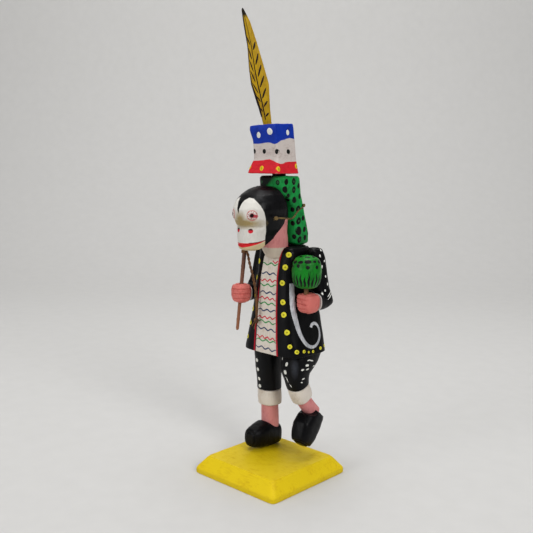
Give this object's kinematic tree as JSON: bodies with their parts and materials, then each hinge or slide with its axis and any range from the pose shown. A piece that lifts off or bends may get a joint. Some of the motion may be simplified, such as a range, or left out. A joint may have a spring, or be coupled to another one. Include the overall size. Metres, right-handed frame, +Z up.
{
  "type": "masked dancer figure",
  "caption": "Carved and painted wooden masked dancer on a square base, with a tall square hat, a feather, a whip and a rattle, standing on one foot.",
  "frame": {"origin": "centre of the base's underside", "axes": "+Z up through the hat and feather; the dancer faces -Y and its left hand is at +X"},
  "size_m": [0.082, 0.082, 0.3418],
  "materials": {
    "base_paint": "brushed yellow acrylic paint on softwood",
    "black_paint": "satin black acrylic paint on carved wood",
    "white_paint": "matt off-white paint on carved wood",
    "pink_paint": "matt pink paint on carved wood",
    "hat_paint": "red, white and blue bands with painted dots",
    "green_paint": "green paint with black spots",
    "feather_paint": "golden yellow paint with black barbs on thin wood",
    "twig": "natural twig, partly stained",
    "twisted_cord": "brown twisted natural-fibre cord",
    "pale_wood": "bare dowel"
  },
  "bodies": {
    "figure": {"base": "base_paint", "coat": "black_paint", "shirt_front": "white_paint", "head": "pink_paint", "hood": "green_paint", "hat_peg": "black_paint", "mask_cord": "twisted_cord", "mask_cord_knot": "twisted_cord", "left_sleeve": "black_paint", "right_sleeve": "black_paint", "left_fist": "pink_paint", "right_fist": "pink_paint", "right_breeches": "black_paint", "right_breeches_cuff": "white_paint", "right_ankle": "pink_paint", "right_clog": "black_paint", "left_breeches": "black_paint", "left_breeches_cuff": "white_paint", "left_ankle": "pink_paint", "left_clog": "black_paint", "foot_dowel": "pale_wood", "neck_dowel": "pale_wood", "right_hip_dowel": "pale_wood", "left_hip_dowel": "pale_wood", "left_shoulder_dowel": "pale_wood", "right_shoulder_dowel": "pale_wood"},
    "hat": {"hat": "hat_paint", "feather": "feather_paint"},
    "mask": {"mask": "black_paint", "mask_tie_left": "twisted_cord", "mask_tie_right": "twisted_cord", "mask_tie_knot_left": "twisted_cord", "mask_tie_knot_right": "twisted_cord"},
    "whip": {"whip_stick": "twig", "lash_binding": "twisted_cord", "whip_lash": "twisted_cord", "lash_knot": "twisted_cord", "lash_tail_outer": "twisted_cord", "lash_tail_inner": "twisted_cord"},
    "rattle": {"rattle_head": "green_paint", "rattle_handle": "twig"}
  },
  "joints": [
    {"name": "hat_turn", "type": "hinge", "parent": "figure", "child": "hat", "pos_m": [0, 0.0048, 0.2278], "axis": [0, 0, 1], "continuous": true},
    {"name": "mask_tilt", "type": "hinge", "parent": "figure", "child": "mask", "pos_m": [0, -0.004, 0.205], "axis": [-1, 0, 0], "range_deg": [0, 12]},
    {"name": "whip_slide", "type": "slide", "parent": "figure", "child": "whip", "axis": [0, 0.116, 0.9932], "range_m": [-0.006, 0.006]},
    {"name": "rattle_turn", "type": "hinge", "parent": "figure", "child": "rattle", "pos_m": [0.0289, 0.0042, 0.1462], "axis": [0, 0, 1], "continuous": true}
  ]
}
